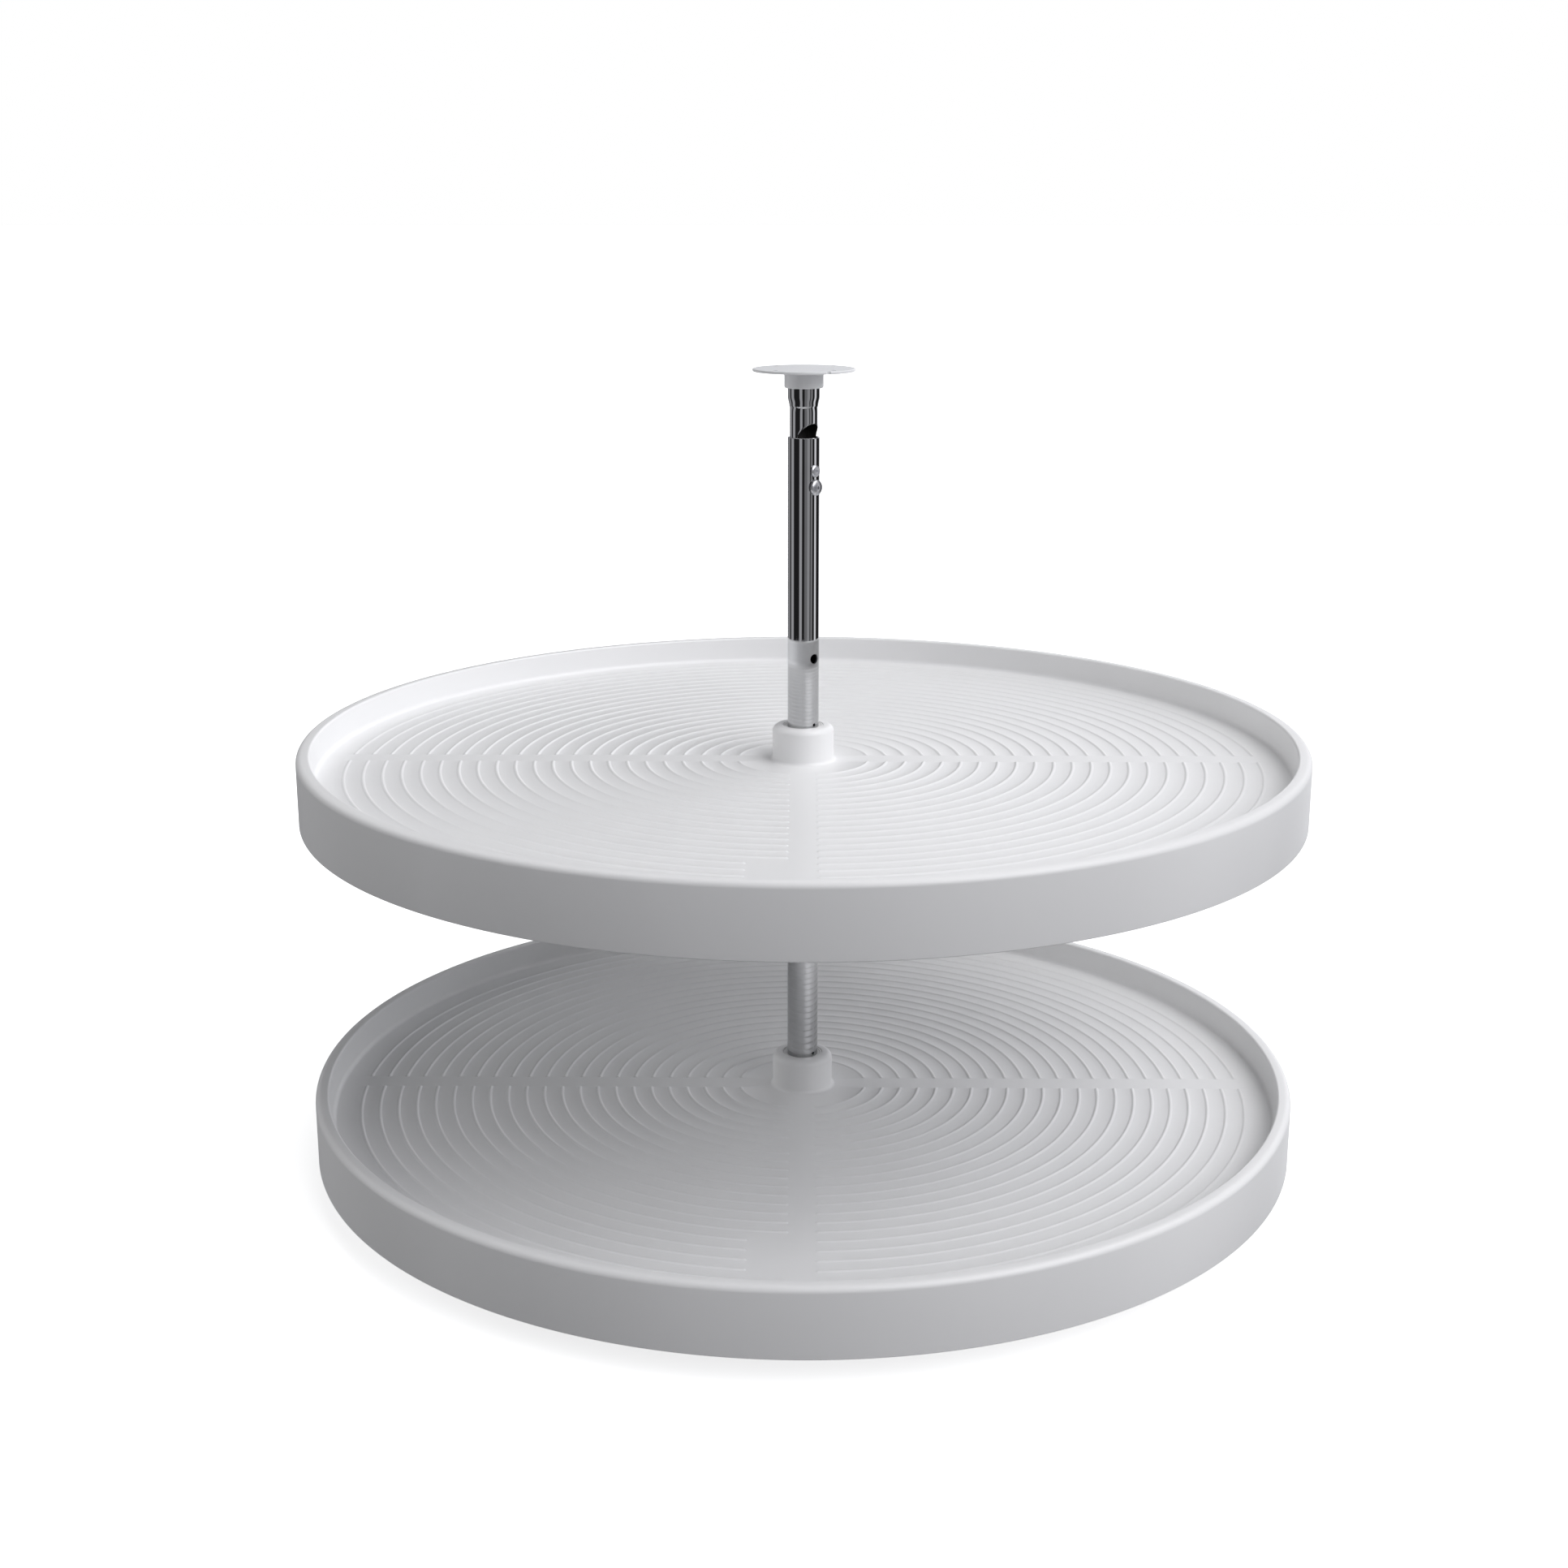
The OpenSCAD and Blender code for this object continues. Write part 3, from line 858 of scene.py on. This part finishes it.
def upper_tube_columns(neck, bore, arch_r, pipe_steps=44):
    """Each column's angle outside and inside, and the height above the arch's centre of each cut."""
    edge_out, edge_in = math.asin(arch_r / neck), math.pi / 2
    columns = []
    for j in range(ARCH_STEPS + 1):
        out = edge_out * (2 * j / ARCH_STEPS - 1)
        across = neck * math.sin(out)
        across_in = max(-bore, min(bore, across))
        rise_out = math.sqrt(max(0.0, arch_r ** 2 - across ** 2))
        rise_in = math.sqrt(arch_r ** 2 - across_in ** 2)
        columns.append((out, math.asin(across_in / bore), rise_out, rise_in))
    rise_out, rise_in = columns[-1][2:]
    for j in range(1, pipe_steps):
        part = j / pipe_steps
        out = edge_out + (math.tau - 2 * edge_out) * part
        into = edge_in + (math.tau - 2 * edge_in) * part
        columns.append((out, into, rise_out, rise_in))
    return columns


def dress_bore(piece, bore, edge):
    """Gives a tube's inner wall and its cut edges their own finishes."""
    piece.data.materials.append(bore)
    piece.data.materials.append(edge)
    for face in piece.data.polygons:
        outward = Vector((face.center.x, face.center.y, 0)).normalized()
        facing = face.normal.dot(outward)
        if facing < -0.5:
            face.material_index = 1
        elif facing < 0.5:
            face.material_index = 2


def build_upper_tube(finish, bore, edge):
    """The sliding tube: swaged out at its top, and cut open to a half pipe below a round arch."""
    low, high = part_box("upper_tube")
    neck, wall = 11.05 * MM, 1.2 * MM
    arch_r, arch_z, joint_z = 10.55 * MM, 606.95 * MM, 621 * MM
    columns = upper_tube_columns(neck, neck - wall, arch_r)
    rows = 6
    swage_low, swage_high = 630.1 * MM, 638.4 * MM
    above = [(neck, 626 * MM), *swage_profile(neck, swage_low, swage_high)]
    above += [(POST_R, 640 * MM), (POST_R, high.z)]
    vertices = []

    def ring(radius, heights, inner):
        for column, height in zip(columns, heights):
            angle = DRILL_ANGLE + column[inner]
            vertices.append((radius * math.cos(angle), radius * math.sin(angle), height))

    def blend_rows(radius, inner, order):
        for k in order:
            heights = []
            for column in columns:
                start = arch_z + column[2 + inner]
                heights.append(start + (joint_z - start) * k / (rows - 1))
            ring(radius, heights, inner)

    blend_rows(neck, 0, range(rows))
    for radius, height in above:
        ring(radius, [height] * len(columns), 0)
    for radius, height in reversed(above):
        ring(radius - wall, [height] * len(columns), 1)
    blend_rows(neck - wall, 1, reversed(range(rows)))
    count = len(columns)
    total = len(vertices) // count
    faces = grid_faces(total, count, close_rows=False)
    last = (total - 1) * count
    faces += [(last + j, last + j + 1, j + 1, j) for j in range(ARCH_STEPS)]
    pipe = [*range(ARCH_STEPS, count), 0]
    foot = len(vertices)
    for inner, radius in ((0, neck), (1, neck - wall)):
        for j in pipe:
            angle = DRILL_ANGLE + columns[j][inner]
            vertices.append((radius * math.cos(angle), radius * math.sin(angle), low.z))
    span = len(pipe)
    for k in range(span - 1):
        here, beside = pipe[k], pipe[k + 1]
        out_a, out_b, in_a, in_b = foot + k, foot + k + 1, foot + span + k, foot + span + k + 1
        faces += [(here, beside, out_b, out_a), (last + here, last + beside, in_b, in_a)]
        faces.append((out_a, out_b, in_b, in_a))
    for k in (0, span - 1):
        faces.append((pipe[k], foot + k, foot + span + k, last + pipe[k]))
    made = new_mesh("upper_tube_drawn", vertices, faces)
    ease_edges(made, 0.38 * MM)
    finish_piece(made, "upper_tube", finish)
    dress_bore(made, bore, edge)


class LAZYSUSAN_OT_post(bpy.types.Operator):
    """Build the two chromed tubes"""

    bl_idname = "lazysusan.post"
    bl_label = "Post"

    def execute(self, context):
        finish = plated_chrome("tube_chrome", context.scene.post_look.chrome)
        bore = tube_bore("tube_bore")
        edge = zinc_plate("tube_cut_edge", (0.88, 0.88, 0.89))
        build_lower_tube(finish, bore, edge)
        build_upper_tube(finish, bore, edge)
        return {"FINISHED"}


# ---------------------------------------------------------------- fasteners

WASHER_GAP, WASHER_T = 0.1 * MM, 0.8 * MM


def thread_rows(shank, tip, seat, columns):
    """Rows of a 1 mm rolled thread from the tip to below the head, faded out at both ends."""
    pitch, depth, steps = 1.0 * MM, 0.55 * MM, 8
    lead_in, run_out, play = 0.8 * MM, 0.4 * MM, 0.1 * MM
    count = int((seat - tip - lead_in - run_out) / pitch * steps)
    rows = []
    for i in range(count + 1):
        x = tip + lead_in + i * pitch / steps
        fade = min(1.0, i / steps, (count - i) / steps)
        phases = [(x / pitch + j / columns) % 1.0 for j in range(columns)]
        rows.append([(shank - play - depth * fade * abs(2 * phase - 1), x) for phase in phases])
    return rows


def screw_dome(head_r, seat, top, steps=9):
    """Radius and height up a screw's head: a straight edge and then a round dome."""
    soft, edge = 0.2 * MM, seat + 0.7 * MM
    dome = [(head_r - soft, seat), (head_r, seat + soft), (head_r, edge)]
    for i in range(1, steps + 1):
        angle = i * math.pi / 2 / steps
        dome.append((head_r * math.cos(angle), edge + (top - edge) * math.sin(angle)))
    return dome


def build_lock_screw(finish):
    """Domed screw with a rolled thread and a cross recess."""
    tip = -9.55 * MM
    seat = POST_R + WASHER_GAP + WASHER_T
    head_r, head_h, shank, columns = 6.1 * MM, 2.8 * MM, 3.0 * MM, 40
    top = seat + head_h
    rows = [[(0.0, tip)] * columns, [(shank - 1.1 * MM, tip)] * columns]
    rows += thread_rows(shank, tip, seat, columns)
    rows += [[point] * columns for point in [(shank, seat), *screw_dome(head_r, seat, top)]]
    vertices = []
    for row in rows:
        for j, (r, x) in enumerate(row):
            angle = math.tau * j / columns
            vertices.append((r * math.cos(angle), r * math.sin(angle), x))
    made = new_mesh("lock_screw_domed", vertices, grid_faces(len(rows), columns, close_rows=False))
    merge_close(made)
    cutters = []
    for turn in (0, math.pi / 2):
        narrow, wide, half_width = 0.5 * MM, 1.9 * MM, 0.35 * MM
        bottom, above = top - 1.9 * MM, top + MM
        corners = [(-narrow, bottom), (narrow, bottom), (wide, above), (-wide, above)]
        sides = [(x, side * half_width, z) for side in (-1, 1) for x, z in corners]
        tool = new_mesh("cross", sides, [
            (0, 1, 2, 3), (4, 7, 6, 5), (0, 4, 5, 1), (1, 5, 6, 2), (2, 6, 7, 3), (3, 7, 4, 0)])
        tool.data.transform(Matrix.Rotation(turn, 4, "Z"))
        cutters.append(tool)
    cut(made, cutters)
    turned_outwards(made, LOCK_SPOT.z)
    finish_piece(made, "lock_screw", finish)


def build_lock_washer(finish):
    """Split spring washer under the screw's head."""
    inner, outer = 3.1 * MM, 5.3 * MM
    low = POST_R + WASHER_GAP
    soft = 0.15 * MM
    corners = [(inner, low), (outer, low), (outer, low + WASHER_T), (inner, low + WASHER_T)]
    outline = rounded([(*corner, soft) for corner in corners], steps=3)
    made = revolved("lock_washer_split", outline, 90, axis_angle=math.radians(100), sweep=math.radians(350))
    turned_outwards(made, LOCK_SPOT.z)
    finish_piece(made, "lock_washer", finish)


def build_rivet(finish):
    """Round-headed rivet with a dimple, and its flared end inside the plate."""
    seat = POST_R + 0.1 * MM
    inside, tail_r, shank, head = 7.8 * MM, 3.5 * MM, 2.4 * MM, 4.7 * MM
    tail_end = inside - 1.2 * MM
    dimple_r, dimple_floor, crown = 1.2 * MM, seat + 0.8 * MM, seat + 1.7 * MM
    outline = [(0.0, tail_end)]
    outline += rounded([
        (tail_r - 0.5 * MM, tail_end, 0.4 * MM), (tail_r, inside, 0.3 * MM),
        (shank, inside, 0.0), (shank, seat, 0.0), (head, seat, 0.1 * MM), (head, seat + 0.7 * MM, 0.3 * MM),
        (head - 1.2 * MM, seat + 1.5 * MM, 0.6 * MM), (dimple_r, crown, 0.2 * MM),
        (dimple_r - 0.4 * MM, dimple_floor, 0.1 * MM)], steps=4)
    outline.append((0.0, dimple_floor))
    made = revolved("guide_rivet_head", outline, 64)
    turned_outwards(made, RIVET_Z)
    finish_piece(made, "guide_rivet", finish)


class LAZYSUSAN_OT_fasteners(bpy.types.Operator):
    """Build the lock screw, its washer and the rivet, and finish the pins and the nut plate"""

    bl_idname = "lazysusan.fasteners"
    bl_label = "Fasteners"

    def execute(self, context):
        finish = zinc_plate("fastener_zinc", context.scene.post_look.zinc)
        build_lock_screw(finish)
        build_lock_washer(finish)
        build_rivet(finish)
        clothe(["nut_plate", "lower_carrier_pin", "upper_carrier_pin"], finish)
        return {"FINISHED"}


class LAZYSUSAN_OT_bearings(bpy.types.Operator):
    """Finish the carriers, races, cages and balls"""

    bl_idname = "lazysusan.bearings"
    bl_label = "Bearings"

    def execute(self, context):
        look = context.scene.post_look
        steel = ground_steel("bearing_ground_steel", look.steel)
        collar = moulded_plastic("carrier_plastic", look.collar, (0.24, 0.25, 0.27), 0.45)
        nylon = moulded_plastic("cage_nylon", look.nylon, (0.64, 0.58, 0.44), 0.4)
        for tier in TIERS:
            clothe([tier + "_bottom_race", tier + "_top_race", tier + "_balls"], steel)
            clothe([tier + "_carrier"], collar)
            clothe([tier + "_ball_cage"], nylon)
        return {"FINISHED"}


# ---------------------------------------------------------------- stage


def studio_strips():
    """Stops of the upright light strips. Angle 0 is behind the camera and 90 is on its right."""
    strips = [
        (-180, 0.04), (-155, 0.34), (-115, 0.02), (-100, 0.50), (-76, 0.02), (-31, 0.50), (-12, 0.02),
        (6, 0.22), (26, 0.40), (45, 0.05), (52, 0.28), (67, 0.02), (84, 1.0), (102, 0.02), (144, 0.95)]
    blur, coolness = 1.6, 1.04
    stops = []
    for i, (angle, light) in enumerate(strips):
        if i:
            stops.append((angle - blur, strips[i - 1][1]))
        stops.append((angle + blur, light))
    return [(0.5 + angle / 360, (light, light, light * coolness)) for angle, light in stops]


def studio_world(look):
    """White to the camera, soft light on matt surfaces, and upright strips in polished ones."""
    world = bpy.data.worlds.new("studio")
    bpy.context.scene.world = world
    graph = Graph(world)
    x, y, z = graph.parts(graph.node("ShaderNodeTexCoord", output="Generated"))
    turn = x.math("ARCTAN2", x, 0 - y) / math.tau + 0.5
    strips = graph.node("ShaderNodeValToRGB", {"stops": studio_strips()}, {"Fac": turn})
    ground_starts, ground_whole, ground_tone = -0.58, -0.68, (0.75, 0.75, 0.76, 1)
    ground = z.between(ground_starts, ground_whole)
    mirrored = graph.node(
        "ShaderNodeMix", {"data_type": "RGBA"}, {0: ground, 6: strips, 7: ground_tone}, output=2)
    camera_ray = graph.node("ShaderNodeLightPath", output="Is Camera Ray")
    glossy_ray = graph.node("ShaderNodeLightPath", output="Is Glossy Ray")
    soft = graph.node("ShaderNodeBackground", {}, {"Color": (0.95, 0.96, 1, 1), "Strength": look.ambient})
    white = graph.node("ShaderNodeBackground", {}, {"Color": (1, 1, 1, 1), "Strength": 1.0})
    polished = graph.node("ShaderNodeBackground", {}, {"Color": mirrored, "Strength": 1.0})
    seen = graph.node("ShaderNodeMixShader", {}, {0: glossy_ray, 1: soft, 2: polished})
    seen = graph.node("ShaderNodeMixShader", {}, {0: camera_ray, 1: seen, 2: white})
    graph.node("ShaderNodeOutputWorld", {}, {"Surface": seen})


def soft_sun(name, strength, azimuth, elevation, tint=(1, 1, 1), mirrored=True):
    """A wide soft light. Azimuth 0 is behind the camera and 90 is on its right."""
    softness = 50
    lamp = bpy.data.lights.new(name, "SUN")
    lamp.energy = strength
    lamp.angle = math.radians(softness)
    lamp.color = tint
    made = bpy.data.objects.new(name, lamp)
    bpy.context.scene.collection.objects.link(made)
    made.visible_glossy = mirrored
    a, e = math.radians(azimuth), math.radians(elevation)
    towards = Vector((math.sin(a) * math.cos(e), -math.cos(a) * math.cos(e), math.sin(e)))
    made.rotation_euler = towards.to_track_quat("Z", "Y").to_euler()


def studio_camera():
    """A camera in front of the post, a little above it and looking down."""
    data = bpy.data.cameras.new("camera")
    data.lens = 50.18
    data.sensor_width = 36.0
    made = bpy.data.objects.new("camera", data)
    bpy.context.scene.collection.objects.link(made)
    made.location = (0.0, -1.738, 0.790)
    made.rotation_euler = (math.radians(74.95), 0.0, math.radians(0.516))
    bpy.context.scene.camera = made


def studio_floor(look):
    """A pale floor that is lit by the lamps but adds nothing to the pieces."""
    half = 60.0
    corners = [(-half, -half, 0), (half, -half, 0), (half, half, 0), (-half, half, 0)]
    floor = new_mesh("floor", corners, [(0, 1, 2, 3)])
    made, graph = new_material("floor_paper")
    grain = graph.noise(40.0, detail=3.0)
    shade = tuple(0.985 * part for part in look.floor)
    graph.surface({
        "Base Color": graph.blend(grain, look.floor, shade),
        "Roughness": 0.9,
        "Emission Color": (1, 1, 1, 1),
        "Emission Strength": look.glow,
    })
    floor.data.materials.append(made)
    floor.visible_glossy = False
    floor.visible_diffuse = False


class LAZYSUSAN_OT_stage(bpy.types.Operator):
    """Set up the camera, the floor and the light"""

    bl_idname = "lazysusan.stage"
    bl_label = "Stage"

    def execute(self, context):
        look = context.scene.stage_look
        context.scene.view_settings.view_transform = "Standard"
        studio_camera()
        studio_floor(look)
        studio_world(look)
        cool, faintly_cool = (0.94, 0.96, 1.0), (0.975, 0.975, 1.0)
        soft_sun("key_light", look.key, 45, 38, faintly_cool)
        soft_sun("top_light", look.top, 90, 65)
        soft_sun("side_light", look.side, 90, 12, cool, mirrored=False)
        soft_sun("rim_light", look.rim, 135, 12, cool, mirrored=False)
        soft_sun("back_light", look.back, 255, 12, mirrored=False)
        return {"FINISHED"}


# ---------------------------------------------------------------- add-on

OPERATORS = (
    LAZYSUSAN_OT_stage,
    LAZYSUSAN_OT_trays,
    LAZYSUSAN_OT_bushes,
    LAZYSUSAN_OT_flanges,
    LAZYSUSAN_OT_post,
    LAZYSUSAN_OT_fasteners,
    LAZYSUSAN_OT_bearings,
)


class LAZYSUSAN_PT_pieces(bpy.types.Panel):
    """Lists the settings and the steps that build the lazy susan"""

    bl_idname = "LAZYSUSAN_PT_pieces"
    bl_label = "Lazy Susan"
    bl_space_type = "VIEW_3D"
    bl_region_type = "UI"
    bl_category = "Lazy Susan"

    def draw(self, context):
        for look in ("tray_look", "post_look", "stage_look"):
            box = self.layout.box()
            group = getattr(context.scene, look)
            for name in group.__annotations__:
                box.prop(group, name)
        for operator in OPERATORS:
            self.layout.operator(operator.bl_idname)


CLASSES = (TrayLook, PostLook, StageLook, *OPERATORS, LAZYSUSAN_PT_pieces)


def register():
    for each in CLASSES:
        bpy.utils.register_class(each)
    bpy.types.Scene.tray_look = bpy.props.PointerProperty(type=TrayLook)
    bpy.types.Scene.post_look = bpy.props.PointerProperty(type=PostLook)
    bpy.types.Scene.stage_look = bpy.props.PointerProperty(type=StageLook)


def unregister():
    del bpy.types.Scene.stage_look
    del bpy.types.Scene.post_look
    del bpy.types.Scene.tray_look
    for each in reversed(CLASSES):
        bpy.utils.unregister_class(each)


def main():
    register()
    for operator in OPERATORS:
        group, name = operator.bl_idname.split(".")
        getattr(getattr(bpy.ops, group), name)()


if __name__ == "__main__":
    main()
